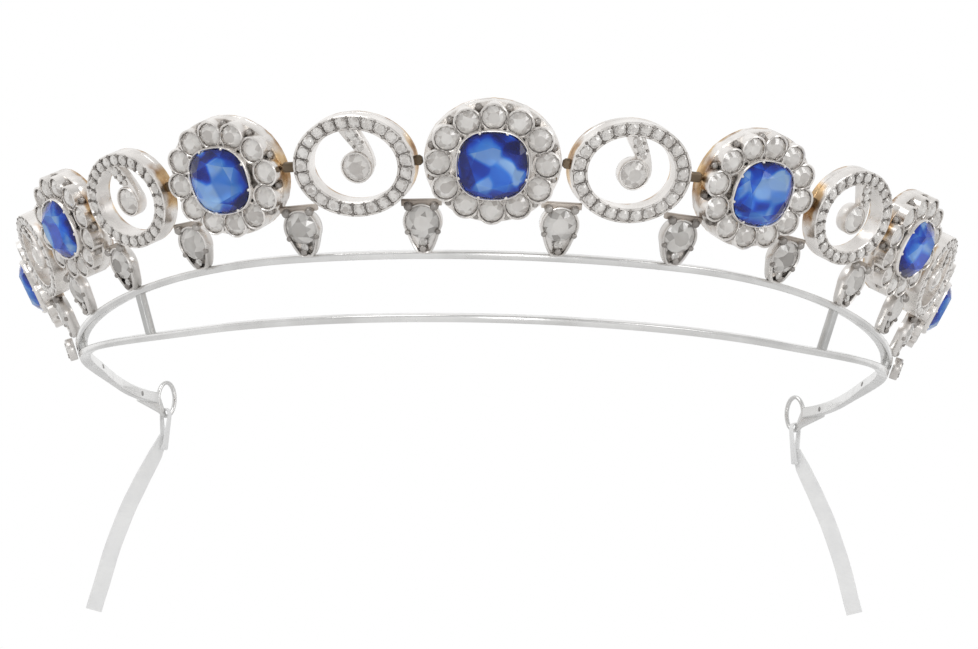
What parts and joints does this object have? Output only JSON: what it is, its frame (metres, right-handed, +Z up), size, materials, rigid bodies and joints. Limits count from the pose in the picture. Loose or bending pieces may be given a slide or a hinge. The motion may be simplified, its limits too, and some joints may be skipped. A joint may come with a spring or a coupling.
{
  "type": "diadem",
  "caption": "Diadem band of two white metal rails with sapphire and diamond clusters, oval scroll links and round drops in front, and ribbon ties at its side arms.",
  "frame": {"origin": "middle of the oval that the lower rail follows, where the head's middle comes up through the band", "axes": "+X to the right as seen from the front, +Y from the centre cluster to the back of the head, +Z up out of the head"},
  "size_m": [0.151, 0.1347, 0.0628],
  "materials": {
    "white_metal": "polished white metal, softly worn",
    "setting": "silver fronts on yellow gold backs, pierced and bead set",
    "diamond": "old cut, faceted, clear",
    "sapphire": "faceted cushion cut, strong blue",
    "ribbon": "narrow pale grey satin ribbon"
  },
  "bodies": {
    "root": {"frame": "white_metal", "ribbon_left": "ribbon", "ribbon_right": "ribbon", "cluster_centre": "setting", "sapphire_centre": "sapphire", "surround_centre": "diamond", "drop_stones_left": "diamond", "drop_stones_right": "diamond", "cluster_left_1": "setting", "sapphire_left_1": "sapphire", "surround_left_1": "diamond", "scroll_left_1": "setting", "scroll_stones_left_1": "diamond", "cluster_left_2": "setting", "sapphire_left_2": "sapphire", "surround_left_2": "diamond", "scroll_left_2": "setting", "scroll_stones_left_2": "diamond", "cluster_left_3": "setting", "sapphire_left_3": "sapphire", "surround_left_3": "diamond", "scroll_left_3": "setting", "scroll_stones_left_3": "diamond", "drop_left_1": "setting", "drop_left_2": "setting", "drop_left_3": "setting", "drop_left_4": "setting", "drop_left_5": "setting", "drop_left_6": "setting", "drop_left_7": "setting", "cluster_right_1": "setting", "sapphire_right_1": "sapphire", "surround_right_1": "diamond", "scroll_right_1": "setting", "scroll_stones_right_1": "diamond", "cluster_right_2": "setting", "sapphire_right_2": "sapphire", "surround_right_2": "diamond", "scroll_right_2": "setting", "scroll_stones_right_2": "diamond", "cluster_right_3": "setting", "sapphire_right_3": "sapphire", "surround_right_3": "diamond", "scroll_right_3": "setting", "scroll_stones_right_3": "diamond", "drop_right_1": "setting", "drop_right_2": "setting", "drop_right_3": "setting", "drop_right_4": "setting", "drop_right_5": "setting", "drop_right_6": "setting", "drop_right_7": "setting"}
  },
  "joints": []
}
